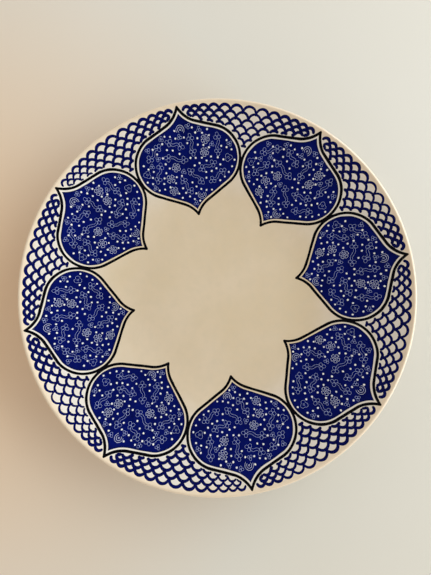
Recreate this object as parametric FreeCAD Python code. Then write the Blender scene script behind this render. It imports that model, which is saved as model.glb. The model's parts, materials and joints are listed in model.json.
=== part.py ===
"""Hand painted coupe plate of glazed ceramic, in millimetres.

The plate rests on its foot ring on the XY plane and opens upwards (+Z).
The origin is on the table, under the middle of the plate.

A plate is built up in coats, and each coat is a solid of its own here:
the fired clay, the white glaze over it, and the painted layers on the glaze.
Every curved coat is cut from concentric arcs, so each one lies on the one below.
"""
import FreeCAD, Part
import math
import os

os.makedirs("parts", exist_ok=True)

# ---------------------------------------------------------------- sizes in mm

# the glazed plate
plate_radius = 150.0      # outermost edge of the lip
plate_height = 32.0       # table to the top of the lip
lip_thickness = 3.6       # the lip is a full round of this thickness
well_radius = 58.0        # flat middle of the eating face
well_height = 8.2         # table to the flat middle
floor_thickness = 5.2     # flat middle, eating face to underside

# the foot ring
foot_radius = 86.0        # middle of the ring
foot_width = 6.0          # width of the ring across its clay walls
foot_fillet = 2.2         # where the glazed underside runs into the ring, if there is room
fillet_share = 0.8        # the most of the ring's glazed wall that this fillet may take
tread_round = 1.3         # edges of the tread that meets the table
bare_foot = 1.9           # lower part of the ring, wiped free of glaze

# the coats
glaze_thickness = 0.35
paint_thickness = 0.16    # cobalt ground and scales
outline_thickness = 0.22  # the black line stands a little higher
dot_thickness = 0.10      # white dots on the cobalt ground
coat_overreach = 1.2      # a sector's coat, before it is cut to shape, spans this many sectors

# the ring of pointed medallions; reaches are to the middle of the black line
medallion_count = 8
outer_reach = 38.9        # from the widest line to the outer tip
inner_reach = 40.8        # from the widest line to the inner tip
tip_margin = 0.25         # from the outer tip to the start of the lip's round
tip_half_angle = 27.0     # degrees between the medallion's axis and its edge at a tip
side_fullness = 0.605     # radius of the round sides, as a share of the shorter reach
tip_hollowness = 0.59     # radius of the hollow curve at a tip, likewise
line_width = 1.7          # black line
line_overlap = 0.55       # how far the lines of two neighbours would run into each other
reserve_width = 1.5       # white line left between the black line and the cobalt

# the fish scales between the medallions
scale_columns = 13        # arches in the outer row of one field
scale_taper = 0.24        # how much narrower the arches at the ends are than the middle one
scale_line = 1.6          # width of the brush stroke
scale_row_step = 0.42     # from one row to the next, as a share of the arch's width
scale_rows = 8            # rows drawn; the medallions cut off what they cover
scale_margin = 1.0        # from the outer row's crests to the start of the lip's round
scale_end_gap = 4.4       # from the outer row's ends to the medallions' axes
scale_clearance = 0.7     # white gap between the strokes and the black line

# the white dots on the cobalt, which leave room for painted flowers and stems
dot_diameter = 1.5
dot_spread = 2.55         # the n-th dot of a sunflower spiral lies at about this times the root of n
dot_margin = 0.7          # from a dot's rim to the edge of the cobalt
motif_spread = 5.6        # the same for the motifs, which have a spiral of their own
motif_margin = 2.9        # from a motif's middle to the edge of the cobalt
motif_clearance = 4.0     # from a motif's middle to the middle of the nearest dot
flower_step = 4           # every fourth motif is a flower
stem_step = 8             # of the others, one is joined by a stem to the eighth after it
stem_clearance = 2.3      # from the straight line of a stem to the middle of the nearest dot
inside_tolerance = 0.001

# ------------------------------------------------------------- derived values

UP = FreeCAD.Vector(0, 0, 1)
ORIGIN = FreeCAD.Vector(0, 0, 0)

lip_radius = lip_thickness / 2
lip_centre = (plate_radius - lip_radius, plate_height - lip_radius)
underside_height = well_height - floor_thickness
foot_outer = foot_radius + foot_width / 2
foot_inner = foot_radius - foot_width / 2


def arc_radius(start_height, lip_side):
    """Radius of the arc that leaves a level plane at the well's edge and touches the lip.

    lip_side is +1 for the eating face, which passes over the lip's circle,
    and -1 for the underside, which passes below it.
    """
    run = lip_centre[0] - well_radius
    rise = lip_centre[1] - start_height
    return (run ** 2 + rise ** 2 - lip_radius ** 2) / (2 * (rise + lip_side * lip_radius))


face_arc = arc_radius(well_height, +1)
under_arc = arc_radius(underside_height, -1)
face_centre = (well_radius, well_height + face_arc)
under_centre = (well_radius, underside_height + under_arc)


def towards(start, end, length):
    """Point at the given length from start, in the direction of end (radius, height)."""
    run = end[0] - start[0]
    rise = end[1] - start[1]
    share = length / math.hypot(run, rise)
    return (start[0] + run * share, start[1] + rise * share)


def face_edge(depth):
    """Where the eating face at this depth below the glaze runs into the lip's round."""
    return towards(face_centre, lip_centre, face_arc + depth)


def face_height(radius, lift=0.0):
    """Height at a radius of the surface that lies lift mm above the eating face."""
    run = max(radius - well_radius, 0.0)
    return face_centre[1] - math.sqrt((face_arc - lift) ** 2 - run ** 2)


ring_radius = face_edge(0)[0] - tip_margin - line_width / 2 - outer_reach
half_sector = math.pi / medallion_count
shorter_reach = min(outer_reach, inner_reach)
side_radius = side_fullness * shorter_reach
tip_radius = tip_hollowness * shorter_reach

# the side arc's centre lies where neighbouring black lines just run together
side_to_ray = side_radius + line_width / 2 - line_overlap / 2
side_offset = (ring_radius * math.sin(half_sector) - side_to_ray) / math.cos(half_sector)


# ------------------------------------------------------------ profile helpers

def point(place):
    return FreeCAD.Vector(place[0], 0, place[1])


def line(start, end):
    return Part.LineSegment(point(start), point(end)).toShape()


def arc(start, middle, end):
    return Part.Arc(point(start), point(middle), point(end)).toShape()


def arc_about(centre, radius, start, end):
    """Arc from start to end about a centre, the short way round."""
    half_way = ((start[0] + end[0]) / 2, (start[1] + end[1]) / 2)
    return arc(start, towards(centre, half_way, radius), end)


def revolved(edges):
    outline = Part.Wire(Part.__sortEdges__(edges))
    return Part.Face(outline).revolve(ORIGIN, UP, 360)


def underside(radius, offset=0.0):
    """Height of the glazed underside at a radius, or of its parallel offset mm below it."""
    run = max(radius - well_radius, 0.0)
    return under_centre[1] - math.sqrt((under_arc + offset) ** 2 - run ** 2)


def foot_fillet_centre(side, wall):
    """Centre of the fillet between the underside and a wall of the foot ring.

    side is +1 outside the ring and -1 inside it; wall is the glazed wall's radius.
    """
    radius = wall + side * root_fillet
    return (radius, underside(radius, root_fillet))


glazed_outer = foot_outer + glaze_thickness
glazed_inner = foot_inner - glaze_thickness
root_fillet = min(foot_fillet, fillet_share * (underside(glazed_inner) - bare_foot))
outer_fillet = foot_fillet_centre(+1, glazed_outer)
inner_fillet = foot_fillet_centre(-1, glazed_inner)


def upper_edges(depth):
    """Eating face, lip and outer underside down the foot's wall, as a list of edges.

    depth is 0 on the glaze and the glaze's thickness on the clay under it.
    """
    centre_top = (0, well_height - depth)
    well_edge = (well_radius, well_height - depth)
    lip_start = face_edge(depth)
    lip_outside = (plate_radius - depth, lip_centre[1])
    lip_end = towards(under_centre, lip_centre, under_arc - depth)
    fillet_start = towards(under_centre, outer_fillet, under_arc - depth)
    wall_top = (glazed_outer - depth, outer_fillet[1])
    wall_end = (glazed_outer - depth, bare_foot)
    return [
        line(centre_top, well_edge),
        arc_about(face_centre, face_arc + depth, well_edge, lip_start),
        arc(lip_start, lip_outside, lip_end),
        arc_about(under_centre, under_arc - depth, lip_end, fillet_start),
        arc_about(outer_fillet, root_fillet + depth, fillet_start, wall_top),
        line(wall_top, wall_end),
    ]


def recess_edges(depth):
    """Underside inside the foot ring, from the ring's inner wall to the middle."""
    wall_end = (glazed_inner + depth, bare_foot)
    wall_top = (glazed_inner + depth, inner_fillet[1])
    fillet_end = towards(under_centre, inner_fillet, under_arc - depth)
    flat_edge = (well_radius, underside_height + depth)
    centre_bottom = (0, underside_height + depth)
    return [
        line(wall_end, wall_top),
        arc_about(inner_fillet, root_fillet + depth, wall_top, fillet_end),
        arc_about(under_centre, under_arc - depth, fillet_end, flat_edge),
        line(flat_edge, centre_bottom),
    ]


# --------------------------------------------------------------- clay, glaze

def clay_body():
    """The fired clay: well, sloping wall, lip and foot ring in one piece."""
    upper = upper_edges(glaze_thickness)
    recess = recess_edges(glaze_thickness)
    corner = tread_round * (1 - math.sqrt(0.5))
    tread = [
        line((foot_outer, bare_foot), (foot_outer, tread_round)),
        arc((foot_outer, tread_round), (foot_outer - corner, corner), (foot_outer - tread_round, 0)),
        line((foot_outer - tread_round, 0), (foot_inner + tread_round, 0)),
        arc((foot_inner + tread_round, 0), (foot_inner + corner, corner), (foot_inner, tread_round)),
        line((foot_inner, tread_round), (foot_inner, bare_foot)),
    ]
    axis = [line((0, underside_height + glaze_thickness), (0, well_height - glaze_thickness))]
    return revolved(upper + tread + recess + axis)


def face_glaze():
    """White glaze over the eating face, the lip and the outside down to the foot ring."""
    outside = upper_edges(0)
    inside = upper_edges(glaze_thickness)
    ends = [
        line((0, well_height), (0, well_height - glaze_thickness)),
        line((glazed_outer, bare_foot), (foot_outer, bare_foot)),
    ]
    return revolved(outside + inside + ends)


def recess_glaze():
    """White glaze on the underside inside the foot ring."""
    outside = recess_edges(0)
    inside = recess_edges(glaze_thickness)
    ends = [
        line((glazed_inner, bare_foot), (foot_inner, bare_foot)),
        line((0, underside_height), (0, underside_height + glaze_thickness)),
    ]
    return revolved(outside + inside + ends)


# -------------------------------------------------------------- painted coats

def paint_coat(thickness):
    """Skin on the glaze of the eating face, a little wider than one sector about +Y."""
    start_radius = min(well_radius, ring_radius - inner_reach) / 2
    width = coat_overreach * math.degrees(2 * half_sector)
    low = [(start_radius, well_height), (well_radius, well_height), face_edge(0)]
    high = [(start_radius, well_height + thickness), (well_radius, well_height + thickness)]
    high.append(face_edge(-thickness))
    edges = [
        line(low[0], low[1]),
        arc_about(face_centre, face_arc, low[1], low[2]),
        line(low[2], high[2]),
        arc_about(face_centre, face_arc - thickness, high[2], high[1]),
        line(high[1], high[0]),
        line(high[0], low[0]),
    ]
    coat = Part.Face(Part.Wire(edges)).revolve(ORIGIN, UP, width)
    coat.rotate(ORIGIN, UP, 90 - width / 2)
    return coat


def painted(shape_in_plan, thickness):
    """Lay a flat shape, drawn in plan about +Y, onto the glaze as a coat."""
    prism = shape_in_plan.extrude(FreeCAD.Vector(0, 0, plate_height))
    return prism.common(paint_coat(thickness))


def plan_point(place):
    return FreeCAD.Vector(place[0], place[1], 0)


def plan_arc(start, middle, end):
    return Part.Arc(plan_point(start), plan_point(middle), plan_point(end)).toShape()


def plan_line(start, end):
    return Part.LineSegment(plan_point(start), plan_point(end)).toShape()


def tip_centre(reach):
    """Centre of the hollow arc beside a tip, in the medallion's own plan."""
    angle = math.radians(tip_half_angle)
    return (tip_radius * math.cos(angle), reach + tip_radius * math.sin(angle))


def shoulder_direction(reach):
    """Unit normal of the straight shoulder between the side arc and the tip's arc."""
    centre = tip_centre(reach)
    run = centre[0] - side_offset
    turn = math.acos((side_radius + tip_radius) / math.hypot(run, centre[1]))
    angle = math.atan2(centre[1], run) - turn
    return (math.cos(angle), math.sin(angle))


def medallion_tip(reach, offset):
    """Where the outline offset outwards from the line's middle crosses or rounds the axis."""
    centre = tip_centre(reach)
    if offset > 0:
        return reach + offset
    return centre[1] - math.sqrt((tip_radius - offset) ** 2 - centre[0] ** 2)


def quarter(reach, offset, side, end):
    """One quarter of the medallion's outline, from its side to its tip.

    offset is the distance outwards from the middle of the black line;
    side and end are +1 or -1 for right or left and outer or inner.
    """
    centre = tip_centre(reach)
    normal = shoulder_direction(reach)
    round_radius = side_radius + offset
    hollow_radius = tip_radius - offset

    def place(x, y):
        return (side * x, ring_radius + end * y)

    side_point = (side_offset + round_radius, 0)
    shoulder_start = (side_offset + round_radius * normal[0], round_radius * normal[1])
    shoulder_end = (centre[0] - hollow_radius * normal[0], centre[1] - hollow_radius * normal[1])
    if offset > 0:
        tip = towards(centre, (0, reach), hollow_radius)
    else:
        tip = (0, medallion_tip(reach, offset))
    side_chord = ((side_point[0] + shoulder_start[0]) / 2, (side_point[1] + shoulder_start[1]) / 2)
    tip_chord = ((shoulder_end[0] + tip[0]) / 2, (shoulder_end[1] + tip[1]) / 2)
    side_middle = towards((side_offset, 0), side_chord, round_radius)
    tip_middle = towards(centre, tip_chord, hollow_radius)
    edges = [
        plan_arc(place(*side_point), place(*side_middle), place(*shoulder_start)),
        plan_line(place(*shoulder_start), place(*shoulder_end)),
        plan_arc(place(*shoulder_end), place(*tip_middle), place(*tip)),
    ]
    return edges, place(*tip)


def medallion_face(offset):
    """Plan of the medallion on the +Y axis, offset outwards from the middle of its line."""
    edges = []
    for reach, end in ((outer_reach, +1), (inner_reach, -1)):
        right, right_tip = quarter(reach, offset, +1, end)
        left, left_tip = quarter(reach, offset, -1, end)
        edges += right + left
        if offset > 0:
            rounded_tip = (0, ring_radius + end * medallion_tip(reach, offset))
            edges.append(plan_arc(right_tip, rounded_tip, left_tip))
    return Part.Face(Part.Wire(Part.__sortEdges__(edges)))


def sector_face(radius):
    """Plan of the sector about +Y that belongs to one medallion."""
    left = (-radius * math.sin(half_sector), radius * math.cos(half_sector))
    right = (radius * math.sin(half_sector), radius * math.cos(half_sector))
    edges = [plan_line((0, 0), left), plan_arc(left, (0, radius), right), plan_line(right, (0, 0))]
    return Part.Face(Part.Wire(edges))


def cobalt_ground():
    plan = medallion_face(-line_width / 2 - reserve_width)
    return painted(plan, paint_thickness)


def black_outline():
    """The black line; neighbouring lines meet face to face between the medallions."""
    band = medallion_face(line_width / 2).cut(medallion_face(-line_width / 2))
    plan = band.common(sector_face(plate_radius))
    return painted(plan, outline_thickness)


# --------------------------------------------------------------- fish scales

def column_angle(column):
    """Angle of an arch's middle from the middle of its field; columns may be halves."""
    half_count = scale_columns / 2
    crest_radius = face_edge(0)[0] - scale_margin
    reach = half_sector - scale_end_gap / crest_radius
    first = reach / (half_count * (1 - scale_taper))
    return column * first * (1 - scale_taper * abs(column) / half_count)


def scale_arch(column, row):
    """One brushed arch, a half ring whose crest points outwards, in a field about +Y."""
    crest_circle = face_edge(0)[0] - scale_margin - scale_line / 2
    turn = column_angle(column + 0.5) - column_angle(column - 0.5)
    radius = crest_circle * (1 - scale_row_step * turn * row)
    arch = radius * math.sin(turn / 2)
    outer = arch + scale_line / 2
    inner = arch - scale_line / 2
    edges = [
        plan_arc((-outer, 0), (0, outer), (outer, 0)),
        plan_line((outer, 0), (inner, 0)),
        plan_arc((inner, 0), (0, inner), (-inner, 0)),
        plan_line((-inner, 0), (-outer, 0)),
    ]
    ring = Part.Face(Part.Wire(edges))
    ring.translate(FreeCAD.Vector(0, radius - arch, 0))
    ring.rotate(ORIGIN, UP, -math.degrees(column_angle(column)))
    return ring


def field_arches():
    """All arches of one field, rows shifted by half a column from one to the next."""
    arches = []
    for row in range(scale_rows):
        count = scale_columns - row % 2
        for place in range(count):
            arches.append(scale_arch(place - (count - 1) / 2, row))
    return arches


def scale_field():
    """The net of scales between two medallions, drawn about +Y."""
    stop = medallion_face(line_width / 2 + scale_clearance)
    stops = []
    for side in (-1, 1):
        neighbour = stop.copy()
        neighbour.rotate(ORIGIN, UP, side * math.degrees(half_sector))
        stops.append(neighbour)
    outside = [arch.cut(stops) for arch in field_arches()]
    faces = [face for shape in outside for face in shape.Faces if belongs_to_field(face)]
    net = faces[0].multiFuse(faces[1:]).removeSplitter()
    return painted(net, paint_thickness)


def belongs_to_field(face):
    """True for strokes outside the ring of medallions and long enough to be painted."""
    centre = face.CenterOfMass
    long_enough = face.Area > scale_line ** 2
    return long_enough and math.hypot(centre.x, centre.y) > ring_radius * math.cos(half_sector)


# ---------------------------------------------------------------- white dots

def spiral_places(spread, margin):
    """Numbered places of a sunflower spiral that lie this far inside the cobalt's edge."""
    allowed = medallion_face(-(line_width / 2 + reserve_width + margin))
    golden_angle = math.pi * (3 - math.sqrt(5))
    count = int((max(outer_reach, inner_reach) / spread) ** 2)
    places = {}
    for number in range(1, count):
        reach = spread * math.sqrt(number - 0.5)
        x = reach * math.cos(number * golden_angle)
        y = reach * math.sin(number * golden_angle)
        place = FreeCAD.Vector(x, ring_radius + y, 0)
        if allowed.isInside(place, inside_tolerance, False):
            places[number] = place
    return places


def stem_ends(motifs):
    """Pairs of motifs that a painted stem joins."""
    ends = []
    joined = set()
    for number in sorted(motifs):
        partner = number + stem_step
        both_free = number not in joined and partner in motifs
        if number % flower_step > 0 and both_free:
            ends.append((motifs[number], motifs[partner]))
            joined.update((number, partner))
    return ends


def distance_to_stem(place, start, end):
    along = end - start
    share = (place - start).dot(along) / along.dot(along)
    nearest = start + along * min(max(share, 0), 1)
    return place.distanceToPoint(nearest)


def dot_places():
    """Places of the dots in the medallion on +Y, clear of its motifs and stems."""
    motifs = spiral_places(motif_spread, motif_margin)
    stems = stem_ends(motifs)
    places = []
    for place in spiral_places(dot_spread, dot_margin + dot_diameter / 2).values():
        near_motif = any(place.distanceToPoint(motif) < motif_clearance for motif in motifs.values())
        near_stem = any(distance_to_stem(place, *ends) < stem_clearance for ends in stems)
        if not near_motif and not near_stem:
            places.append(place)
    return places


def white_dot(place):
    """A flat round dot that lies square on the hollow cobalt ground, touching at its rim."""
    radius = math.hypot(place.x, place.y)
    rim_lift = (dot_diameter / 2) ** 2 / (2 * face_arc)
    lift = paint_thickness + rim_lift
    tilt = math.asin(max(radius - well_radius, 0.0) / (face_arc - lift))
    outward = FreeCAD.Vector(place.x / radius, place.y / radius, 0)
    normal = UP * math.cos(tilt) - outward * math.sin(tilt)
    base = FreeCAD.Vector(place.x, place.y, face_height(radius, lift))
    return Part.makeCylinder(dot_diameter / 2, dot_thickness, base, normal)


def white_dots():
    return Part.makeCompound([white_dot(place) for place in dot_places()])


# -------------------------------------------------------------------- export

def save(name, shape):
    shape.exportStep("parts/" + name + ".step")


def save_ring(name, shape, first_turn):
    """Save one copy per medallion; copies run clockwise from the first turn, in sectors."""
    for index in range(medallion_count):
        turned = shape.copy()
        turned.rotate(ORIGIN, UP, -math.degrees(2 * half_sector) * (index + first_turn))
        save(name + "_" + str(index + 1), turned)


save("clay_body", clay_body())
save("face_glaze", face_glaze())
save("foot_recess_glaze", recess_glaze())
save_ring("cobalt_medallion", cobalt_ground(), 0)
save_ring("black_outline", black_outline(), 0)
save_ring("scale_field", scale_field(), 0.5)
save_ring("white_dots", white_dots(), 0)
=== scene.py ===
import json
import math
import random

import bpy
import numpy as np
from mathutils import Matrix, Vector, noise


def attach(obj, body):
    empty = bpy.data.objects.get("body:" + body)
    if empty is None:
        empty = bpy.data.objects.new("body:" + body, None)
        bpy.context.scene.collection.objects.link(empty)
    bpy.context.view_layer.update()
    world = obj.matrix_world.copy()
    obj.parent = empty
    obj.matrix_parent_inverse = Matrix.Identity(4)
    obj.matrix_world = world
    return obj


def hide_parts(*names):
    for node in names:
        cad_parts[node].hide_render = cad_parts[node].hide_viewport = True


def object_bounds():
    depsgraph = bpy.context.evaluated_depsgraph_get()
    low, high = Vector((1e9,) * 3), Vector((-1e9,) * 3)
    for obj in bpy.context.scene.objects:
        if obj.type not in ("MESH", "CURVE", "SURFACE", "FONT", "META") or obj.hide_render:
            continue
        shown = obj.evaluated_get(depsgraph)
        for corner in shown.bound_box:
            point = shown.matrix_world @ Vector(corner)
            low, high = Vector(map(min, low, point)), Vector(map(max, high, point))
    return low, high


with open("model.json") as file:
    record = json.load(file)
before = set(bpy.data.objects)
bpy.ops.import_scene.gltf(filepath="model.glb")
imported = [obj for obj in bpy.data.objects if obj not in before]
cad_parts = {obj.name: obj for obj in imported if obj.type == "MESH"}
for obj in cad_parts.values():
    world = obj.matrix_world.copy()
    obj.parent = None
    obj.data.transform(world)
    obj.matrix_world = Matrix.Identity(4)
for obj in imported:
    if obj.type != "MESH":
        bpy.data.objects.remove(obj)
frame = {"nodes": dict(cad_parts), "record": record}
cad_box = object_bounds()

# Looks of the hand painted plate. Shapes are worked out in mm and become metres when their mesh
# is made; camera, light, floor and shader lengths are in metres.
# The frame is the CAD's: Z up, the table at 0, the first medallion on +Y.

MM = 0.001
RING = 8                       # medallions, and fields of scales between them
SECTOR = 2 * math.pi / RING

# ---------------------------------------------------------------- the plate's sizes

PLATE_RADIUS = cad_box[1][0] / MM
PLATE_HEIGHT = cad_box[1][2] / MM
WELL_HEIGHT = next(m for m in frame["record"]["mounts"] if m["name"] == "well_floor")["pos_m"][2] / MM
WELL_RADIUS = 58.0
FLOOR_THICKNESS = 5.2
UNDERSIDE_HEIGHT = WELL_HEIGHT - FLOOR_THICKNESS
LIP_RADIUS = 1.8
FOOT_OUTER = 89.0
FOOT_INNER = 83.0
FOOT_FILLET = 2.2
BARE_FOOT = 1.9
GLAZE_STOP = BARE_FOOT + 0.3    # the glaze on the foot's walls ends in a bead below this
GLAZE = 0.35

LINE_WIDTH = 1.7               # the black line; medallions are measured to its middle
LINE_OVERLAP = 0.55            # of two neighbours' lines
RESERVE = 1.5                  # white left between the black line and the cobalt
OUTER_REACH = 38.9             # from a medallion's middle to its tip by the lip
INNER_REACH = 40.8             # and to its tip in the well
TIP_MARGIN = 0.25              # from the outer tip to the start of the lip
TIP_ANGLE = math.radians(27.0)
SIDE_RADIUS = 0.605 * OUTER_REACH
TIP_RADIUS = 0.59 * OUTER_REACH
COBALT_EDGE = -(LINE_WIDTH / 2 + RESERVE)

SCALE_COLUMNS = 13
SCALE_TAPER = 0.24
SCALE_LINE = 1.6
SCALE_STEP = 0.42
SCALE_ROWS = 8
SCALE_MARGIN = 1.0
SCALE_END_GAP = 4.4
SCALE_CLEARANCE = 0.7

DOT_RADIUS = 0.75
DOT_SPREAD = 2.55
DOT_MARGIN = 0.7
MOTIF_SPREAD = 5.6
MOTIF_MARGIN = 2.9
MOTIF_CLEARANCE = 4.0
FLOWER_STEP = 4
STEM_STEP = 8
STEM_CLEARANCE = 2.3

# fired lines creep this far past the brush's edge on each side
LINE_CREEP = 0.20
STROKE_CREEP = 0.27
GROUND_CREEP = 0.20

# how far each coat stands above the glaze; fired colours are nearly flush
COBALT_LIFT = 0.055
LINE_LIFT = 0.075
STROKE_LIFT = 0.050
HAIR_LIFT = 0.022
DOT_LIFT = COBALT_LIFT + 0.055
EDGE_DIP = -0.004              # a coat's edge dips into what is under it

LIP_CENTRE = (PLATE_RADIUS - LIP_RADIUS, PLATE_HEIGHT - LIP_RADIUS)


def arc_radius(start_height, lip_side):
    """Radius of the arc that leaves a level plane at the well's edge and touches the lip."""
    run = LIP_CENTRE[0] - WELL_RADIUS
    rise = LIP_CENTRE[1] - start_height
    return (run ** 2 + rise ** 2 - LIP_RADIUS ** 2) / (2 * (rise + lip_side * LIP_RADIUS))


FACE_ARC = arc_radius(WELL_HEIGHT, +1)
UNDER_ARC = arc_radius(UNDERSIDE_HEIGHT, -1)
FACE_CENTRE = (WELL_RADIUS, WELL_HEIGHT + FACE_ARC)
UNDER_CENTRE = (WELL_RADIUS, UNDERSIDE_HEIGHT + UNDER_ARC)


def towards(start, end, length):
    """The point this far from start on the line through end."""
    run, rise = end[0] - start[0], end[1] - start[1]
    share = length / math.hypot(run, rise)
    return (start[0] + run * share, start[1] + rise * share)


def unevenness(x, y):
    """Slow swells of a few hundredths of a mm that a moulded and glazed plate keeps."""
    place = Vector((x * 0.021, y * 0.021, 1.7))
    return 0.045 * noise.noise(place) + 0.012 * noise.noise(place * 3.1)


def face_height(x, y):
    """Height of the glazed eating face."""
    run = max(math.hypot(x, y) - WELL_RADIUS, 0.0)
    return FACE_CENTRE[1] - math.sqrt(FACE_ARC ** 2 - run ** 2) + unevenness(x, y)


LIP_START = towards(FACE_CENTRE, LIP_CENTRE, FACE_ARC)
RING_RADIUS = LIP_START[0] - TIP_MARGIN - LINE_WIDTH / 2 - OUTER_REACH
MIDDLE = np.array([0.0, RING_RADIUS])    # of the medallion on +Y
SIDE_OFFSET = (
    RING_RADIUS * math.sin(SECTOR / 2) - (SIDE_RADIUS + LINE_WIDTH / 2 - LINE_OVERLAP / 2)
) / math.cos(SECTOR / 2)


# ---------------------------------------------------------------- materials

def srgb(red, green, blue):
    """Linear colour, with alpha, of an sRGB colour given in 0 to 255."""
    def channel(value):
        value /= 255
        return value / 12.92 if value <= 0.04045 else ((value + 0.055) / 1.055) ** 2.4
    return (channel(red), channel(green), channel(blue), 1.0)


class Shader:
    """A node material under construction: adds nodes and links them by name."""

    def __init__(self, name, **sockets):
        self.material = bpy.data.materials.new(name)
        self.material.use_nodes = True
        self.tree = self.material.node_tree
        self.principled = next(n for n in self.tree.nodes if n.type == "BSDF_PRINCIPLED")
        for socket, value in sockets.items():
            self.principled.inputs[socket.replace("_", " ")].default_value = value
        self.place = self.node("ShaderNodeTexCoord").outputs["Object"]

    def node(self, kind, **settings):
        node = self.tree.nodes.new(kind)
        for name, value in settings.items():
            setattr(node, name, value)
        return node

    def link(self, output, target):
        self.tree.links.new(output, target)

    def to(self, socket, output):
        """Feeds an output into a socket of the principled shader."""
        self.link(output, self.principled.inputs[socket])

    def noise(self, scale, detail=3.0, roughness=0.55, stretch=None):
        """Noise of this many periods per metre, optionally stretched along axes."""
        node = self.node("ShaderNodeTexNoise")
        node.inputs["Scale"].default_value = scale
        node.inputs["Detail"].default_value = detail
        node.inputs["Roughness"].default_value = roughness
        if stretch:
            mapping = self.node("ShaderNodeMapping")
            mapping.inputs["Scale"].default_value = stretch
            self.link(self.place, mapping.inputs["Vector"])
            self.link(mapping.outputs["Vector"], node.inputs["Vector"])
        else:
            self.link(self.place, node.inputs["Vector"])
        return node.outputs["Fac"]

    def cells(self, scale):
        """Distance to the nearest of scattered points, of this many per metre."""
        node = self.node("ShaderNodeTexVoronoi")
        node.inputs["Scale"].default_value = scale
        self.link(self.place, node.inputs["Vector"])
        return node.outputs["Distance"]

    def height(self):
        """Height above the table, in metres."""
        node = self.node("ShaderNodeSeparateXYZ")
        self.link(self.place, node.inputs["Vector"])
        return node.outputs["Z"]

    def attribute(self, name):
        """A number kept at the mesh's points."""
        return self.node("ShaderNodeAttribute", attribute_name=name).outputs["Fac"]

    def spread(self, value, start, end, low_value=0.0, high_value=1.0):
        """Maps start..end to low_value..high_value, clamped."""
        node = self.node("ShaderNodeMapRange")
        self.link(value, node.inputs["Value"])
        ends = (start, end, low_value, high_value)
        for socket, number in zip(("From Min", "From Max", "To Min", "To Max"), ends):
            node.inputs[socket].default_value = number
        return node.outputs["Result"]

    def combine(self, operation, first, second):
        """Sum or product of two values; each may be a number or a node's output."""
        node = self.node("ShaderNodeMath", operation=operation)
        for socket, value in zip(node.inputs, (first, second)):
            if isinstance(value, (int, float)):
                socket.default_value = value
            else:
                self.link(value, socket)
        return node.outputs["Value"]

    def mix(self, factor, first, second):
        """Mixes two colours; each may be a colour or a node's output."""
        node = self.node("ShaderNodeMix", data_type="RGBA")
        self.link(factor, node.inputs["Factor"])
        for socket, value in ((node.inputs[6], first), (node.inputs[7], second)):
            if isinstance(value, tuple):
                socket.default_value = value
            else:
                self.link(value, socket)
        return node.outputs[2]

    def bump(self, height, distance, strength=1.0, under=None):
        """Bump whose height output of 1 stands this many metres high."""
        node = self.node("ShaderNodeBump")
        node.inputs["Distance"].default_value = distance
        node.inputs["Strength"].default_value = strength
        self.link(height, node.inputs["Height"])
        if under:
            self.link(under, node.inputs["Normal"])
        return node.outputs["Normal"]


def glaze_material():
    """Ivory-white glaze: creamy in the well and whiter up the wall, where the whiteness is painted
    light of the window on the slopes; warm where it thins over the lip, with faint clouding, a few
    iron specks, soft ripples and pinholes."""
    s = Shader("ivory_glaze", Roughness=0.13, IOR=1.5)
    clouds = s.spread(s.noise(22, 4), 0.35, 0.68)
    colour = s.mix(clouds, srgb(227, 207, 178), srgb(222, 201, 168))
    uneven = s.combine("MULTIPLY", s.noise(30, 3), 0.004)
    # painted light: the wall is coloured whiter and cooler than the well, standing in for the window's
    # light on the slopes
    wall = s.spread(s.combine("ADD", s.height(), uneven), 0.0115, 0.0190)
    colour = s.mix(wall, colour, s.mix(clouds, srgb(233, 225, 215), srgb(228, 219, 207)))
    lip = s.spread(s.combine("ADD", s.height(), uneven), 0.0312, 0.0334)
    colour = s.mix(lip, colour, srgb(236, 215, 187))
    fine = s.spread(s.noise(160, 3), 0.4, 0.75, 0.0, 0.30)
    colour = s.mix(fine, colour, srgb(213, 197, 169))
    specks = s.spread(s.cells(52), 0.030, 0.016)
    scarce = s.spread(s.noise(31, 1), 0.60, 0.66)
    speckled = s.combine("MULTIPLY", specks, s.combine("MULTIPLY", scarce, 0.55))
    colour = s.mix(speckled, colour, srgb(120, 92, 62))
    s.to("Base Color", colour)
    s.to("Roughness", s.spread(s.noise(75, 3), 0.3, 0.75, 0.09, 0.19))
    ripple = s.bump(s.noise(55, 2, 0.4), 0.00005)
    pits = s.bump(s.spread(s.cells(310), 0.0, 0.10, -1.0, 0.0), 0.00001, 0.5, ripple)
    s.to("Normal", pits)
    return s.material


def cobalt_material():
    """Cobalt ground: brushed unevenly under the glaze, deeper where the colour pooled."""
    s = Shader("cobalt_ground", Roughness=0.14, IOR=1.5, Specular_IOR_Level=0.07)
    wash = s.spread(s.noise(95, 4, 0.6, (1.0, 0.35, 1.0)), 0.32, 0.72)
    colour = s.mix(wash, srgb(3, 15, 93), srgb(2, 8, 68))
    grain = s.spread(s.noise(900, 3, 0.7), 0.42, 0.72, 0.0, 0.5)
    colour = s.mix(grain, colour, srgb(6, 22, 108))
    pooled = s.combine("MULTIPLY", s.attribute("pool"), 0.75)
    colour = s.mix(pooled, colour, srgb(1, 4, 46))
    s.to("Base Color", colour)
    s.to("Roughness", s.spread(s.noise(120, 3), 0.3, 0.75, 0.10, 0.22))
    ripple = s.bump(s.noise(60, 2, 0.4), 0.00005)
    s.to("Normal", s.bump(s.noise(700, 3, 0.6), 0.000006, 0.6, ripple))
    return s.material


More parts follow.
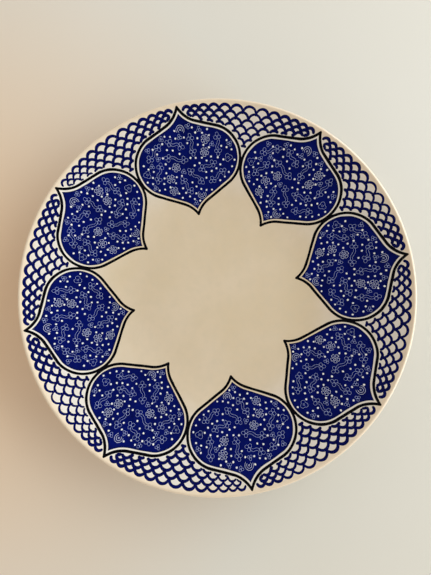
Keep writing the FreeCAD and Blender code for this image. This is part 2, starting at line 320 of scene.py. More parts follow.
def brushed_material(name, thin, full, pooled):
    """A brush line: thin where the brush ran dry, deep where the colour gathered."""
    s = Shader(name, Roughness=0.15, IOR=1.5, Specular_IOR_Level=0.07)
    load = s.spread(s.noise(210, 3, 0.6), 0.34, 0.70)
    colour = s.mix(load, thin, full)
    grain = s.spread(s.noise(1500, 2, 0.7), 0.55, 0.8, 0.0, 0.35)
    colour = s.mix(grain, colour, thin)
    colour = s.mix(s.combine("MULTIPLY", s.attribute("pool"), 0.8), colour, pooled)
    s.to("Base Color", colour)
    s.to("Roughness", s.spread(s.noise(140, 3), 0.3, 0.75, 0.11, 0.24))
    ripple = s.bump(s.noise(55, 2, 0.4), 0.00005)
    s.to("Normal", s.bump(s.noise(900, 2, 0.6), 0.000006, 0.6, ripple))
    return s.material


def enamel_material(name, body, rim):
    """White slip laid on the blue: a touch of the blue shows through where it is thin."""
    s = Shader(name, Roughness=0.2, IOR=1.5)
    cover = s.spread(s.noise(420, 3, 0.6), 0.35, 0.72, 0.0, 0.5)
    colour = s.mix(cover, body, rim)
    colour = s.mix(s.combine("MULTIPLY", s.attribute("pool"), 0.7), colour, rim)
    s.to("Base Color", colour)
    s.to("Roughness", s.spread(s.noise(300, 2), 0.3, 0.75, 0.14, 0.28))
    s.to("Normal", s.bump(s.noise(1200, 2, 0.6), 0.000008, 0.7))
    return s.material


def clay_material():
    """Bare fired clay of the tread: buff, gritty, rubbed grey where it meets tables."""
    s = Shader("bare_clay", Roughness=0.78, IOR=1.45)
    body = s.spread(s.noise(180, 5, 0.65), 0.3, 0.72)
    colour = s.mix(body, srgb(222, 205, 176), srgb(196, 173, 139))
    grit = s.spread(s.cells(900), 0.22, 0.10, 0.0, 0.6)
    colour = s.mix(grit, colour, srgb(150, 124, 92))
    worn = s.spread(s.height(), 0.0006, 0.0)
    rubbed = s.combine("MULTIPLY", worn, s.spread(s.noise(70, 4, 0.6), 0.42, 0.6, 0.1, 0.75))
    colour = s.mix(rubbed, colour, srgb(139, 131, 120))
    s.to("Base Color", colour)
    s.to("Roughness", s.spread(s.noise(400, 3), 0.3, 0.7, 0.62, 0.88))
    coarse = s.bump(s.noise(1300, 4, 0.7), 0.00009)
    s.to("Normal", s.bump(s.cells(700), 0.00005, 0.7, coarse))
    return s.material


# ---------------------------------------------------------------- mesh helpers

def add_piece(name, points, faces, material, stands_for=(), pool=None):
    """Makes a smooth piece from points in mm, riding on the plate's one body."""
    mesh = bpy.data.meshes.new(name)
    mesh.from_pydata([(x * MM, y * MM, z * MM) for x, y, z in points], [], faces)
    mesh.validate()
    mesh.polygons.foreach_set("use_smooth", [True] * len(mesh.polygons))
    if pool is not None:
        layer = mesh.attributes.new("pool", "FLOAT", "POINT")
        layer.data.foreach_set("value", np.asarray(pool, np.float32))
    mesh.materials.append(material)
    piece = bpy.data.objects.new(name, mesh)
    bpy.context.scene.collection.objects.link(piece)
    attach(piece, "root")
    if stands_for:
        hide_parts(*stands_for)
    return piece


def turned(points, angle):
    """Points turned about the plate's axis; a positive angle turns clockwise seen from above."""
    c, s = math.cos(angle), math.sin(angle)
    return [(x * c + y * s, y * c - x * s, z) for x, y, z in points]


def add_ring(name, points, faces, material, node, pool=None, shift=0.0):
    """One copy of the piece per sector, each standing for its own CAD node if there is one.

    shift moves them all on by this many sectors.
    """
    for index in range(RING):
        label = "_" + str(index + 1)
        places = turned(points, (index + shift) * SECTOR)
        stands_for = (node + label,) if node else ()
        add_piece(name + label, places, faces, material, stands_for, pool)


def arc_points(centre, radius, start, end, count):
    """Points on the short arc from start to end, without the start itself."""
    first = math.atan2(start[1] - centre[1], start[0] - centre[0])
    last = math.atan2(end[1] - centre[1], end[0] - centre[0])
    sweep = (last - first + math.pi) % (2 * math.pi) - math.pi
    angles = [first + sweep * step / count for step in range(1, count + 1)]
    return [(centre[0] + radius * math.cos(a), centre[1] + radius * math.sin(a)) for a in angles]


def line_points(start, end, count):
    """Points on the straight line from start to end, without the start itself."""
    steps = [step / count for step in range(1, count + 1)]
    return [(start[0] + (end[0] - start[0]) * t, start[1] + (end[1] - start[1]) * t) for t in steps]


# ---------------------------------------------------------------- glaze

def underside(radius, offset=0.0):
    """Height of the underside at this radius, or of a line this far below it."""
    run = max(radius - WELL_RADIUS, 0.0)
    return UNDER_CENTRE[1] - math.sqrt((UNDER_ARC + offset) ** 2 - run ** 2)


def fillet_centre(side, wall):
    """Centre of the fillet between the underside and a wall of the foot ring."""
    radius = wall + side * FOOT_FILLET
    return (radius, underside(radius, FOOT_FILLET))


def upper_profile(depth, fine):
    """Eating face, lip and outside down to the foot, as points of (radius, height)."""
    lip_start = towards(FACE_CENTRE, LIP_CENTRE, FACE_ARC + depth)
    lip_end = towards(UNDER_CENTRE, LIP_CENTRE, UNDER_ARC - depth)
    wall = FOOT_OUTER + GLAZE
    fillet = fillet_centre(+1, wall)
    fillet_start = towards(UNDER_CENTRE, fillet, UNDER_ARC - depth)
    well_edge = (WELL_RADIUS, WELL_HEIGHT - depth)
    profile = line_points((0, WELL_HEIGHT - depth), well_edge, 12 * fine)
    profile += arc_points(FACE_CENTRE, FACE_ARC + depth, well_edge, lip_start, 24 * fine)
    lip_outside = (PLATE_RADIUS - depth, LIP_CENTRE[1])
    profile += arc_points(LIP_CENTRE, LIP_RADIUS - depth, lip_start, lip_outside, 4 * fine)
    profile += arc_points(LIP_CENTRE, LIP_RADIUS - depth, lip_outside, lip_end, 3 * fine)
    profile += arc_points(UNDER_CENTRE, UNDER_ARC - depth, lip_end, fillet_start, 12 * fine)
    wall_top = (wall - depth, fillet[1])
    profile += arc_points(fillet, FOOT_FILLET + depth, fillet_start, wall_top, 4 * fine)
    return profile + line_points(wall_top, (wall - depth, GLAZE_STOP), fine)


def recess_profile(depth, fine):
    """Underside from the ring's inner wall to near the middle, as (radius, height)."""
    wall = FOOT_INNER - GLAZE
    fillet = fillet_centre(-1, wall)
    fillet_end = towards(UNDER_CENTRE, fillet, UNDER_ARC - depth)
    wall_top = (wall + depth, fillet[1])
    flat_edge = (WELL_RADIUS, UNDERSIDE_HEIGHT + depth)
    profile = line_points((wall + depth, GLAZE_STOP), wall_top, fine)
    profile += arc_points(fillet, FOOT_FILLET + depth, wall_top, fillet_end, 4 * fine)
    profile += arc_points(UNDER_CENTRE, UNDER_ARC - depth, fillet_end, flat_edge, 6 * fine)
    return profile + line_points(flat_edge, (2.0, UNDERSIDE_HEIGHT + depth), 10 * fine)


BEAD_HANG = 1.7     # how far the bead hangs, as a share of its radius


def bead(start, end, side):
    """The rounded lower edge of the glaze on a foot wall, from its outside to the clay."""
    radius = GLAZE / 2
    middle = ((start[0] + end[0]) / 2, start[1])
    angles = [math.pi * step / 6 for step in range(1, 6)]
    hang = BEAD_HANG * radius
    return [(middle[0] + side * radius * math.cos(a), middle[1] - hang * math.sin(a)) for a in angles]


def spin(name, profile, material, stands_for, segments=360):
    """Revolves a closed profile; the glaze follows the slow swells and runs unevenly at the foot."""
    points = []
    for index, (radius, height) in enumerate(profile):
        for step in range(segments):
            angle = 2 * math.pi * step / segments
            x, y = radius * math.cos(angle), radius * math.sin(angle)
            run_down = 0.0
            if height < BARE_FOOT + 0.45 and FOOT_INNER - 1 < radius < FOOT_OUTER + 1:
                run_down = 0.28 * noise.noise(Vector((x * 0.16, y * 0.16, radius)))
            points.append((x, y, height + unevenness(x, y) + run_down))
    faces = []
    count = len(profile)
    for row in range(count - 1):
        for step in range(segments):
            after = (step + 1) % segments
            a, b = row * segments + step, row * segments + after
            faces.append((a, a + segments, b + segments, b))
    for row, flip in ((0, False), (count - 1, True)):
        cap = [row * segments + step for step in range(segments)]
        hub = len(points)
        ring = [points[i] for i in cap]
        points.append((0.0, 0.0, sum(p[2] for p in ring) / segments))
        for step in range(segments):
            edge = (cap[step], cap[(step + 1) % segments])
            faces.append((hub, edge[1], edge[0]) if flip else (hub, edge[0], edge[1]))
    return add_piece(name, points, faces, material, stands_for)


def make_glaze(material):
    """The glaze over face, lip and outside, and the glaze in the foot ring's recess."""
    outer = [(2.0, WELL_HEIGHT)] + [p for p in upper_profile(0.0, 3) if p[0] > 2.5]
    inner = [p for p in upper_profile(GLAZE, 1) if p[0] > 2.5]
    closed = outer + bead(outer[-1], inner[-1], +1) + inner[::-1] + [(2.0, WELL_HEIGHT - GLAZE)]
    spin("white_glaze_face", closed, material, ("face_glaze",))
    outer = recess_profile(0.0, 3)
    inner = recess_profile(GLAZE, 1)
    closed = inner[::-1] + bead(inner[0], outer[0], +1) + outer
    spin("white_glaze_recess", closed, material, ("foot_recess_glaze",))


# ---------------------------------------------------------------- medallions

QUARTER_STEPS = (46, 8, 30, 5)    # along the side, the shoulder, the hollow and round the tip


def quarter(reach, offset):
    """Right-hand quarter of a medallion from its side to a tip, about the medallion's middle.

    offset is the distance outwards from the middle of the black line.
    """
    centre = (TIP_RADIUS * math.cos(TIP_ANGLE), reach + TIP_RADIUS * math.sin(TIP_ANGLE))
    run = centre[0] - SIDE_OFFSET
    turn = math.acos((SIDE_RADIUS + TIP_RADIUS) / math.hypot(run, centre[1]))
    angle = math.atan2(centre[1], run) - turn
    normal = (math.cos(angle), math.sin(angle))
    round_radius = SIDE_RADIUS + offset
    hollow = TIP_RADIUS - offset
    side = (SIDE_OFFSET + round_radius, 0.0)
    start = (SIDE_OFFSET + round_radius * normal[0], round_radius * normal[1])
    end = (centre[0] - hollow * normal[0], centre[1] - hollow * normal[1])
    along, shoulder, hollow_steps, tip_steps = QUARTER_STEPS
    points = [side] + arc_points((SIDE_OFFSET, 0.0), round_radius, side, start, along)
    points += line_points(start, end, shoulder)
    if offset > 0:
        tip = towards(centre, (0.0, reach), hollow)
        points += arc_points(centre, hollow, end, tip, hollow_steps)
        points += arc_points((0.0, reach), offset, tip, (0.0, reach + offset), tip_steps)
    else:
        tip = (0.0, centre[1] - math.sqrt(hollow ** 2 - centre[0] ** 2))
        points += arc_points(centre, hollow, end, tip, hollow_steps)
        points += [tip] * tip_steps
    return points


def medallion_loop(offset):
    """Closed outline of the medallion on +Y, counter-clockwise, as an array of plan points."""
    outer = quarter(OUTER_REACH, offset)
    inner = quarter(INNER_REACH, offset)
    loop = outer[:-1]
    loop += [(-x, y) for x, y in outer[:0:-1]]
    loop += [(-x, -y) for x, y in inner[:-1]]
    loop += [(x, -y) for x, y in inner[:0:-1]]
    return np.array(loop) + MIDDLE


def wobble(loop, size, pitch, seed):
    """Sideways wander of a hand-drawn edge: the same for nearby points whatever their offset."""
    shift = []
    for x, y in loop:
        place = Vector((x / pitch, y / pitch, seed))
        shift.append((size * noise.noise(place), size * noise.noise(place + Vector((9.1, 3.3, 5.7)))))
    return loop + np.array(shift)


def lifted(loop, height):
    """Plan points as points this far above the glazed face."""
    return [(x, y, face_height(x, y) + height) for x, y in loop]


def rings_to_faces(ring_count, size, closed=True):
    """Quads between successive rings of points that run counter-clockwise, outermost first."""
    faces = []
    for ring in range(ring_count - 1):
        for step in range(size if closed else size - 1):
            a = ring * size + step
            b = ring * size + (step + 1) % size
            faces.append((a, b, b + size, a + size))
    return faces


def make_lines(material):
    """The black line round each medallion, a little uneven in width."""
    half = LINE_WIDTH / 2 + LINE_CREEP
    points, pool = [], []
    true_line = medallion_loop(0.0)
    wander = wobble(true_line, 0.16, 9.0, 2.0) - true_line
    middle = true_line + wander
    swell = np.array([1 + 0.09 * noise.noise(Vector((x / 6, y / 6, 4.0))) for x, y in true_line])
    shares = (1.0, 0.9, 0.62, 0.0, -0.62, -0.9, -1.0)
    for share in shares:
        loop = medallion_loop(share * half) + wander
        loop = middle + (loop - middle) * swell[:, None]
        height = LINE_LIFT * math.sqrt(1 - abs(share) ** 5) + (EDGE_DIP if abs(share) == 1 else 0)
        points += lifted(loop, height)
        pool += [0.0 if abs(share) > 0.8 else 0.7] * len(loop)
    faces = rings_to_faces(len(shares), len(middle))
    add_ring("black_line", points, faces, material, "black_outline", pool)


def make_cobalt(material):
    """The blue ground inside the white reserve line, its colour pooled along the edge."""
    edge = COBALT_EDGE + GROUND_CREEP
    points, pool = [], []
    insets = (    # inset from the edge, height, share of pooled colour
        (0.0, EDGE_DIP, 0.55),
        (0.07, 0.030, 0.9),
        (0.20, 0.050, 1.0),
        (0.45, 0.058, 0.8),
        (0.9, 0.056, 0.35),
    )
    base = medallion_loop(edge)
    wander = wobble(base, 0.22, 7.0, 8.0) - base
    for inset, height, depth in insets:
        loop = medallion_loop(edge - inset) + wander
        points += lifted(loop, height)
        pool += [depth] * len(loop)
    size = len(loop)
    inner_rings = 25
    for step in range(1, inner_rings + 1):
        ring = MIDDLE + (loop - MIDDLE) * (1 - step / (inner_rings + 1))
        points += lifted(ring, COBALT_LIFT)
        pool += [0.0] * size
    faces = rings_to_faces(len(insets) + inner_rings, size)
    hub = len(points)
    points += lifted([tuple(MIDDLE)], COBALT_LIFT)
    pool.append(0.0)
    last = hub - size
    faces += [(last + step, last + (step + 1) % size, hub) for step in range(size)]
    add_ring("cobalt_ground", points, faces, material, "cobalt_medallion", pool)


def signed_distance(points, loop):
    """Distance from plan points to a closed outline; negative inside."""
    points = np.atleast_2d(points)
    start, end = loop, np.roll(loop, -1, axis=0)
    along = end - start
    length = np.maximum((along ** 2).sum(1), 1e-12)
    rel = points[:, None, :] - start[None]
    share = np.clip((rel * along[None]).sum(2) / length, 0, 1)
    gap = rel - share[..., None] * along[None]
    distance = np.sqrt((gap ** 2).sum(2).min(1))
    above = (start[None, :, 1] > points[:, 1:2]) != (end[None, :, 1] > points[:, 1:2])
    rise = np.where(along[:, 1] == 0, 1e-12, along[:, 1])
    cross = start[None, :, 0] + (points[:, 1:2] - start[None, :, 1]) * (along[:, 0] / rise)[None]
    inside = (above & (points[:, 0:1] < cross)).sum(1) % 2 == 1
    return np.where(inside, -distance, distance)


# ---------------------------------------------------------------- fish scales

def column_angle(column):
    """Angle of a column of scales, counted from the middle of the field; outer ones are narrower."""
    half_count = SCALE_COLUMNS / 2
    reach = SECTOR / 2 - SCALE_END_GAP / (LIP_START[0] - SCALE_MARGIN)
    first = reach / (half_count * (1 - SCALE_TAPER))
    return column * first * (1 - SCALE_TAPER * abs(column) / half_count)


def arch_line(column, row, angles):
    """Radius of one scale's arch and its plan points at these angles of its half circle."""
    turn = column_angle(column + 0.5) - column_angle(column - 0.5)
    first_crest = LIP_START[0] - SCALE_MARGIN - SCALE_LINE / 2
    crest = first_crest * (1 - SCALE_STEP * turn * row)
    arch = crest * math.sin(turn / 2)
    lean = column_angle(column)
    x = arch * np.cos(angles)
    y = crest - arch + arch * np.sin(angles)
    points = (x * math.cos(lean) + y * math.sin(lean), y * math.cos(lean) - x * math.sin(lean))
    return arch, np.stack(points, 1)


def runs(flags):
    """First and last index of each unbroken run of true flags."""
    start = None
    for index, flag in enumerate(list(flags) + [False]):
        if flag and start is None:
            start = index
        elif not flag and start is not None:
            yield start, index - 1
            start = None


class Stroke:
    """Collects brush strokes, ribbons with round ends, into one mesh on a coat of this height."""

    def __init__(self, base=0.0):
        self.base = base
        self.points, self.faces, self.pool = [], [], []

    def add(self, centreline, half_widths, lift, shares, depths, closed=False):
        """centreline is an array of plan points; shares and depths describe the cross-section."""
        tangent = np.gradient(centreline, axis=0)
        if closed:
            tangent = np.roll(centreline, -1, axis=0) - np.roll(centreline, 1, axis=0)
        tangent /= np.maximum(np.linalg.norm(tangent, axis=1), 1e-9)[:, None]
        normal = np.stack([-tangent[:, 1], tangent[:, 0]], 1)
        size, first = len(centreline), len(self.points)
        for share, depth in zip(shares, depths):
            row = centreline + normal * (half_widths * share)[:, None]
            height = lift * (1 - abs(share) ** 4) + (EDGE_DIP if abs(share) == 1 else 0)
            self.points += lifted(row, self.base + height)
            self.pool += list(depth if isinstance(depth, np.ndarray) else [depth] * size)
        for face in rings_to_faces(len(shares), size, closed):
            self.faces.append(tuple(first + corner for corner in face[::-1]))


def arch_stroke(stroke, column, row, start, end, seed):
    """One arch from angle start to angle end of its half circle, drawn in a single sweep."""
    arch, _ = arch_line(column, row, np.zeros(1))
    length = arch * (end - start)
    half = SCALE_LINE / 2 + STROKE_CREEP
    cap = [half * (1 - math.cos(math.pi / 2 * k / 6)) for k in range(6)]
    body = [half + (length - 2 * half) * k / 16 for k in range(17)]
    places = np.array(cap + body + [length - c for c in cap[::-1]])
    _, line = arch_line(column, row, start + places / arch)
    ends = np.minimum(places, length - places)
    rounding = np.sqrt(np.clip(1 - (1 - np.minimum(ends / half, 1)) ** 2, 0, 1))
    waver = np.array([1 + 0.10 * noise.noise(Vector((px / 3.1, py / 3.1, seed))) for px, py in line])
    press = 1 + 0.06 * np.sin(math.pi * places / length)
    shift = np.array([
        (noise.noise(Vector((px / 8, py / 8, 3.0))), noise.noise(Vector((px / 8, py / 8, 7.0))))
        for px, py in line
    ])
    gathered = np.clip(1.0 - ends / 2.4, 0, 1) * 0.8 + 0.2
    lift = STROKE_LIFT + 0.010 * ((seed * 0.618) % 1)
    shares = (1.0, 0.88, 0.55, 0.0, -0.55, -0.88, -1.0)
    depths = (0.1, 0.35, gathered, gathered, gathered, 0.35, 0.1)
    stroke.add(line + 0.16 * shift, half * rounding * waver * press, lift, shares, depths)


def make_scales(material):
    """The net of scales between two medallions and the lip."""
    loop = medallion_loop(0.0)
    sides = []
    for side in (-1, 1):
        c, s = math.cos(SECTOR / 2), side * math.sin(SECTOR / 2)
        sides.append(loop @ np.array([[c, -s], [s, c]]))
    keep_off = LINE_WIDTH / 2 + SCALE_CLEARANCE
    innermost = RING_RADIUS * math.cos(SECTOR / 2)
    shortest = 1.15 * SCALE_LINE
    angles = np.linspace(-0.06, math.pi + 0.06, 121)
    stroke = Stroke()
    seed = 1
    for row in range(SCALE_ROWS):
        count = SCALE_COLUMNS - row % 2
        for place in range(count):
            column = place - (count - 1) / 2
            arch, line = arch_line(column, row, angles)
            gap = np.minimum(signed_distance(line, sides[0]), signed_distance(line, sides[1]))
            free = (gap > keep_off) & (np.hypot(line[:, 0], line[:, 1]) > innermost)
            for first, last in runs(free):
                start, end = angles[first], angles[last]
                if arch * (end - start) > shortest:
                    arch_stroke(stroke, column, row, start, end, seed)
                    seed += 1
    add_ring(
        "fish_scales", stroke.points, stroke.faces, material,
        "scale_field", stroke.pool, shift=0.5,
    )


# ---------------------------------------------------------------- dots

def spiral_places(spread, margin):
    """Numbered places of a sunflower spiral about the medallion's middle, inside its cobalt."""
    edge = medallion_loop(COBALT_EDGE - margin) - MIDDLE
    golden = math.pi * (3 - math.sqrt(5))
    numbers = np.arange(1, int((max(OUTER_REACH, INNER_REACH) / spread) ** 2))
    reach = spread * np.sqrt(numbers - 0.5)
    spots = np.stack([reach * np.cos(numbers * golden), reach * np.sin(numbers * golden)], 1)
    inside = signed_distance(spots, edge) < 0
    return {int(n): spot for n, spot, fits in zip(numbers, spots, inside) if fits}


def stem_ends(motifs):
    """Numbers of the motifs that a stem joins, in pairs."""
    ends, joined = [], set()
    for number in sorted(motifs):
        partner = number + STEM_STEP
        if number % FLOWER_STEP > 0 and number not in joined and partner in motifs:
            ends.append((number, partner))
            joined.update((number, partner))
    return ends


def distance_to_stem(spot, start, end):
    """Distance to the straight line between a stem's two ends."""
    along = end - start
    share = min(max(float((spot - start) @ along) / float(along @ along), 0.0), 1.0)
    return float(np.linalg.norm(spot - start - share * along))


def dot_places(motifs, stems):
    """The dots lie on a finer spiral, clear of the motifs and the stems."""
    places = []
    for spot in spiral_places(DOT_SPREAD, DOT_MARGIN + DOT_RADIUS).values():
        near_motif = any(np.linalg.norm(spot - motif) < MOTIF_CLEARANCE for motif in motifs.values())
        near_stem = any(distance_to_stem(spot, motifs[a], motifs[b]) < STEM_CLEARANCE for a, b in stems)
        if not near_motif and not near_stem:
            places.append(spot)
    return places


DOME = (    # share of the radius, height above the cobalt, share of thin rim colour
    (1.0, EDGE_DIP, 1.0),
    (0.93, 0.022, 0.6),
    (0.75, 0.042, 0.1),
    (0.4, 0.053, 0.0),
)


def make_dots(material, dots):
    """White slip dots, each a low dome that is not quite round."""
    points, faces, pool = [], [], []
    around = 14
    for index, (dx, dy) in enumerate(dots):
        size = DOT_RADIUS * (1.02 + 0.16 * noise.noise(Vector((dx, dy, 0.5))))
        first = len(points)
        for share, height, depth in DOME:
            for step in range(around):
                angle = 2 * math.pi * step / around
                oval = 0.05 * math.sin(2 * angle + index)
                dent = 0.03 * math.sin(3 * angle + 2 * index)
                out = size * share * (1 + oval + dent)
                x, y = dx + out * math.cos(angle), RING_RADIUS + dy + out * math.sin(angle)
                points.append((x, y, face_height(x, y) + COBALT_LIFT + height))
                pool.append(depth)
        hub = len(points)
        x, y = dx, RING_RADIUS + dy
        points.append((x, y, face_height(x, y) + DOT_LIFT))
        pool.append(0.0)
        faces += [tuple(first + c for c in face) for face in rings_to_faces(len(DOME), around)]
        last = hub - around
        faces += [(last + step, last + (step + 1) % around, hub) for step in range(around)]
    add_ring("slip_dots", points, faces, material, "white_dots", pool)


# ---------------------------------------------------------------- hair-line filigree

STEM_HAIR = 0.100     # half the width of a hair line in stems and small leaves
FLOWER_HAIR = 0.140   # and in flowers and rings
GAP = 1.0             # from a small leaf to the lines of other motifs
DOT_GAP = 0.45        # and to a dot
EDGE_GAP = 0.7        # and to the cobalt's edge
CELL = 0.25           # of the grid that keeps count of the room

STEM_SIZE = 2.9       # of the loops at a stem's ends
STEM_SWAY = 0.85
FLOWER_SIZE = 3.35
CLOUD_SIZE = 3.1
RING_SIZES = (0.5, 1.9, 3.2)
LEAF_SIZES = (0.5, 1.0, 2.0)    # smallest drop, smallest and largest three-leaf clover
MOST_LEAVES = 12
FAN = (-1.85, 0.0, 1.85)        # directions of the loops at a stem's end
THIRDS = (0.0, 2.09, 4.19)      # and of a clover's leaves


class Ground:
    """The cobalt ground of one medallion, which knows how far each place is from what is drawn."""

    def __init__(self, dots):
        self.reach = INNER_REACH + 2
        axis = np.arange(-self.reach, self.reach, CELL)
        x, y = np.meshgrid(axis, axis)
        self.x, self.y = x, y
        edge = medallion_loop(COBALT_EDGE) - MIDDLE
        spots = np.stack([x.ravel(), y.ravel()], 1)
        rooms = [signed_distance(part, edge[::2]) for part in np.array_split(spots, 60)]
        self.room = -np.concatenate(rooms).reshape(x.shape) + GAP - EDGE_GAP
        for dot in dots:
            gap = np.hypot(x - dot[0], y - dot[1]) - DOT_RADIUS
            self.room = np.minimum(self.room, gap + GAP - DOT_GAP)
        self.lines = []

    def cell(self, points):
        """Column and row of the grid at each place."""
        index = np.rint((points + self.reach) / CELL).astype(int)
        return np.clip(index, 0, len(self.x) - 1)

    def draw(self, lines, hair=STEM_HAIR):
        """Keeps the lines and takes up their room."""
        places = np.concatenate([line for line, closed in lines])
        low_cell = self.cell(places.min(0) - 4)
        high_cell = self.cell(places.max(0) + 4) + 1
        window = (slice(low_cell[1], high_cell[1]), slice(low_cell[0], high_cell[0]))
        across = self.x[window][..., None] - places[:, 0]
        along = self.y[window][..., None] - places[:, 1]
        gap = np.hypot(across, along)
        self.room[window] = np.minimum(self.room[window], gap.min(2))
        self.lines += [(line, closed, hair) for line, closed in lines]

    def roomiest(self):
        """The place that is furthest from everything, and how far that is."""
        index = np.unravel_index(np.argmax(self.room), self.room.shape)
        return (self.x[index], self.y[index]), self.room[index]


def placed(lines, spot, angle):
    """Lines turned counter-clockwise about the origin, then moved to a spot."""
    c, s = math.cos(angle), math.sin(angle)
    turn = np.array([[c, s], [-s, c]])
    return [(line @ turn + np.array(spot), closed) for line, closed in lines]


def loop_line(centre, radius, stretch=1.0, angle=0.0, count=14):
    """A small closed loop, round or stretched along its own angle."""
    t = np.linspace(0, 2 * math.pi, count, endpoint=False)
    x, y = radius * stretch * np.cos(t), radius * np.sin(t)
    c, s = math.cos(angle), math.sin(angle)
    return (np.stack([centre[0] + x * c - y * s, centre[1] + x * s + y * c], 1), True)


def flower(radius, petals):
    """A lacy floret: looped petals round a small ring."""
    lines = [loop_line((0, 0), 0.16 * radius, count=10)]
    width = radius * math.sin(math.pi / petals) * 0.74
    for index in range(petals):
        turn = 2 * math.pi * index / petals
        t = np.linspace(0, 2 * math.pi, 20, endpoint=False)
        along = radius * (0.68 - 0.32 * np.cos(t) + 0.04 * np.cos(3 * t))
        across = width * np.sin(t) * (0.74 - 0.34 * np.cos(t))
        lines += placed([(np.stack([along, across], 1), True)], (0, 0), turn)
    return lines


def clover(spot, angle, size, leaves=FAN):
    """Round loops fanned about a spot, the middle one furthest out."""
    lines = []
    for leaf in leaves:
        turn = angle + leaf
        away = size * (0.60 if leaf == 0.0 else 0.52)
        centre = (spot[0] + away * math.cos(turn), spot[1] + away * math.sin(turn))
        lines.append(loop_line(centre, 0.43 * size, 1.12, turn, 18))
    return lines


def stem(start, end, sway, size):
    """A double-line stem, swaying like an S from one motif's middle to the other's."""
    start, end = np.array(start), np.array(end)
    along = end - start
    length = float(np.linalg.norm(along))
    along = along / length
    across = np.array([-along[1], along[0]])
    inset = 0.42 * size
    t = np.linspace(0, 1, max(int(length / 0.4), 10))
    reach = inset + (length - 2 * inset) * t
    bend = sway * np.sin(2 * math.pi * t)
    middle = start + np.outer(reach, along) + np.outer(bend, across)
    tangent = np.gradient(middle, axis=0)
    tangent /= np.linalg.norm(tangent, axis=1)[:, None]
    normal = np.stack([-tangent[:, 1], tangent[:, 0]], 1)
    half = 0.66 + 0.22 * np.sin(math.pi * t)
    lines = [(middle + normal * half[:, None], False), (middle - normal * half[:, None], False)]
    lines += clover(start, math.atan2(-along[1], -along[0]), size)
    lines += clover(end, math.atan2(along[1], along[0]), size)
    return lines


def cloud(radius, lobes):
    """A closed scalloped outline with a ring in it."""
    t = np.linspace(0, 2 * math.pi, 12 * lobes, endpoint=False)
    r = radius * (0.58 + 0.42 * np.abs(np.sin(lobes * t / 2)))
    outline = np.stack([r * np.cos(t), r * np.sin(t)], 1)
    return [(outline, True), loop_line((0, 0), 0.22 * radius, count=12)]


def ripple_rings(radii, start):
    """Rings round a spot, the outer ones left open."""
    lines = [loop_line((0, 0), radii[0], count=14)]
    for index, radius in enumerate(radii[1:]):
        t = start + np.linspace(0, 5.0 - 0.5 * index, 32)
        lines.append((np.stack([radius * np.cos(t), radius * np.sin(t)], 1), False))
    return lines


def fill_ground(motifs, stems, dots):
    """Stems, flowers and ring groups in the places left for them, then small leaves in spare room."""
    ground = Ground(dots)
    dice = random.Random(5)
    joined = set()
    for first, last in stems:
        sway = STEM_SWAY * (1 if first % 2 else -1)
        ground.draw(stem(motifs[first], motifs[last], sway, STEM_SIZE))
        joined.update((first, last))
    free = {number: spot for number, spot in motifs.items() if number not in joined}
    outermost = max(free, key=lambda number: free[number][1])
    innermost = min(free, key=lambda number: free[number][1])
    for number, spot in free.items():
        if number in (outermost, innermost):
            facing = 2.2 if number == innermost else -0.9
            ground.draw(placed(ripple_rings(RING_SIZES, facing), spot, 0.0), FLOWER_HAIR)
        elif number % FLOWER_STEP == 0 or number % 2:
            petals = 5 if number % 3 else 4
            ground.draw(placed(flower(FLOWER_SIZE, petals), spot, dice.uniform(0, 1)), FLOWER_HAIR)
        else:
            ground.draw(placed(cloud(CLOUD_SIZE, 3), spot, dice.uniform(0, 1)))
    smallest, clover_from, largest = LEAF_SIZES
    for _ in range(MOST_LEAVES):
        spot, room = ground.roomiest()
        size = room - GAP
        if size < smallest:
            break
        if size > clover_from:
            ground.draw(clover(spot, dice.uniform(0, 6), min(size, largest), THIRDS))
        else:
            ground.draw([loop_line(spot, 0.7 * size, 1.5, dice.uniform(0, 3), 12)])
    return ground.lines


def make_filigree(material, motifs, stems, dots):
    """Hair lines drawn in white slip on the blue of every medallion, fuller in the flowers."""
    stroke = Stroke(COBALT_LIFT)
    for line, closed, hair in fill_ground(motifs, stems, dots):
        places = line + MIDDLE
        size = len(places)
        waver = np.array([1 + 0.22 * noise.noise(Vector((x / 1.7, y / 1.7, 6.0))) for x, y in places])
        if not closed:
            ends = np.minimum(np.arange(size), size - 1 - np.arange(size))
            waver *= np.where(ends == 0, 0.45, np.where(ends == 1, 0.85, 1.0))
        blue = 1.0 if hair == STEM_HAIR else 0.1    # how much of the ground shows through
        depths = (blue, 0.8 * blue, blue)
        stroke.add(places, hair * waver, HAIR_LIFT, (1.0, 0.0, -1.0), depths, closed)
    add_ring("slip_hair_lines", stroke.points, stroke.faces, material, "", stroke.pool)


# ---------------------------------------------------------------- camera, light, floor

VIEW_TURN = math.radians(-11.19)    # the plate lies turned by this much under the camera
LENS = 27.05
CAMERA_PLACE = (0.01620, -0.01364, 0.35441)
CAMERA_TILT = (0.0549, 0.0448)      # about X, then about Y

WINDOW_DIRECTION = (0.88, 0.21, 0.30)    # from the plate, in the camera's frame
WINDOW_DISTANCE = 1.6
WINDOW_SIZE = (3.0, 1.2)
WINDOW_RADIANCE = 4.1
WINDOW_COLOUR = (0.82, 0.93, 1.0)

ROOM_COLOUR = (1.0, 0.945, 0.88, 1.0)
ROOM_DIMMING = {"From Min": 0.35, "From Max": 0.9, "To Min": 1.06, "To Max": 0.30}

# middle and reach of a pool of warm light painted into the table's colour, left of the plate
FLOOR_WARM_LIGHT_PLACE = (-0.26, 0.04, 0.0)
FLOOR_WARM_LIGHT_REACH = 0.34


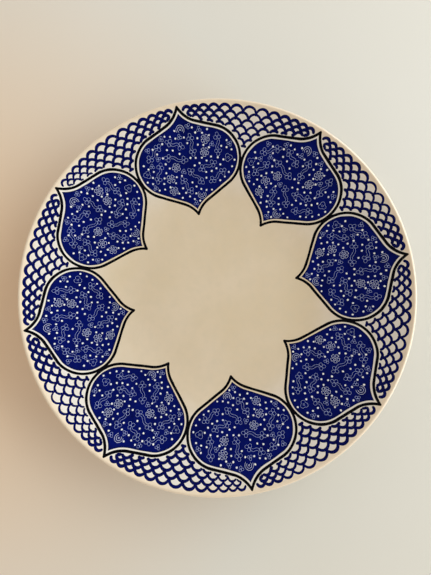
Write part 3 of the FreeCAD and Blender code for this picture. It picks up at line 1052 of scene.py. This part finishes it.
def make_camera():
    """Looks almost straight down on the plate, as when photographed on a table."""
    camera = bpy.data.cameras.new("camera")
    camera.sensor_width = 36.0
    camera.lens = LENS
    camera.clip_start = 0.01
    camera.clip_end = 20
    eye = bpy.data.objects.new("camera", camera)
    spun = Matrix.Rotation(VIEW_TURN, 4, "Z")
    tilt = Matrix.Rotation(CAMERA_TILT[1], 4, "Y") @ Matrix.Rotation(CAMERA_TILT[0], 4, "X")
    eye.matrix_world = spun @ Matrix.Translation(CAMERA_PLACE) @ tilt
    bpy.context.scene.collection.objects.link(eye)
    bpy.context.scene.camera = eye


def make_window():
    """A wide, soft, cool light that faces the plate."""
    lamp = bpy.data.lights.new("window", "AREA")
    lamp.shape = "RECTANGLE"
    width, height = WINDOW_SIZE
    lamp.size, lamp.size_y = width, height
    lamp.energy = WINDOW_RADIANCE * math.pi * width * height
    lamp.color = WINDOW_COLOUR
    bulb = bpy.data.objects.new("window", lamp)
    direction = Vector(WINDOW_DIRECTION).normalized()
    place = Matrix.Rotation(VIEW_TURN, 3, "Z") @ direction * WINDOW_DISTANCE
    bulb.location = place
    bulb.rotation_euler = place.to_track_quat("Z", "Y").to_euler()
    bpy.context.scene.collection.objects.link(bulb)


def make_room_light():
    """Warm light from all round, brighter near the horizon than overhead."""
    world = bpy.data.worlds.new("room")
    bpy.context.scene.world = world
    world.use_nodes = True
    background = next(n for n in world.node_tree.nodes if n.type == "BACKGROUND")
    background.inputs["Color"].default_value = ROOM_COLOUR
    place = world.node_tree.nodes.new("ShaderNodeTexCoord")
    height = world.node_tree.nodes.new("ShaderNodeSeparateXYZ")
    dimming = world.node_tree.nodes.new("ShaderNodeMapRange")
    for socket, number in ROOM_DIMMING.items():
        dimming.inputs[socket].default_value = number
    world.node_tree.links.new(place.outputs["Generated"], height.inputs["Vector"])
    world.node_tree.links.new(height.outputs["Z"], dimming.inputs["Value"])
    world.node_tree.links.new(dimming.outputs["Result"], background.inputs["Strength"])


def make_floor():
    """A pale table top, faintly uneven, with a pool of warm light painted on the side away from the
    window.
    """
    s = Shader("pale_table", Roughness=0.5, IOR=1.45)
    clouds = s.spread(s.noise(2.2, 3), 0.3, 0.7)
    colour = s.mix(clouds, srgb(231, 226, 215), srgb(225, 219, 205))
    away = s.node("ShaderNodeVectorMath", operation="DISTANCE")
    s.link(s.place, away.inputs[0])
    away.inputs[1].default_value = FLOOR_WARM_LIGHT_PLACE
    # painted light: a warm, bright pool painted into the table's colour on the left, lightening the
    # plate's shadow there
    painted_warm_light = s.spread(away.outputs["Value"], FLOOR_WARM_LIGHT_REACH, 0.05)
    s.to("Base Color", s.mix(painted_warm_light, colour, srgb(244, 209, 170)))
    s.to("Roughness", s.spread(s.noise(9, 3), 0.3, 0.7, 0.42, 0.58))
    s.to("Normal", s.bump(s.noise(600, 2), 0.00001))
    half, steps = 3.0, 12
    side = [half * (2 * k / steps - 1) for k in range(steps + 1)]
    points = [(x, y, 0.0) for y in side for x in side]
    faces = []
    for row in range(steps):
        for step in range(steps):
            a = row * (steps + 1) + step
            faces.append((a, a + 1, a + steps + 2, a + steps + 1))
    mesh = bpy.data.meshes.new("table_top")
    mesh.from_pydata(points, [], faces)
    mesh.materials.append(s.material)
    floor = bpy.data.objects.new("table_top", mesh)
    bpy.context.scene.collection.objects.link(floor)


# ---------------------------------------------------------------- put it together

bpy.context.scene.view_settings.view_transform = "Standard"
make_camera()
make_window()
make_room_light()
make_floor()

make_glaze(glaze_material())
clay = frame["nodes"]["clay_body"]
clay.data.materials.clear()
clay.data.materials.append(clay_material())
make_cobalt(cobalt_material())
make_lines(brushed_material("black_brush", srgb(10, 10, 18), srgb(4, 4, 8), srgb(2, 2, 5)))
make_scales(brushed_material("navy_brush", srgb(7, 15, 88), srgb(3, 8, 66), srgb(2, 4, 48)))
motifs = spiral_places(MOTIF_SPREAD, MOTIF_MARGIN)
stems = stem_ends(motifs)
dots = dot_places(motifs, stems)
make_dots(enamel_material("slip_dot", srgb(243, 240, 230), srgb(170, 178, 212)), dots)
hair_slip = enamel_material("slip_hair", srgb(224, 228, 240), srgb(140, 156, 214))
make_filigree(hair_slip, motifs, stems, dots)
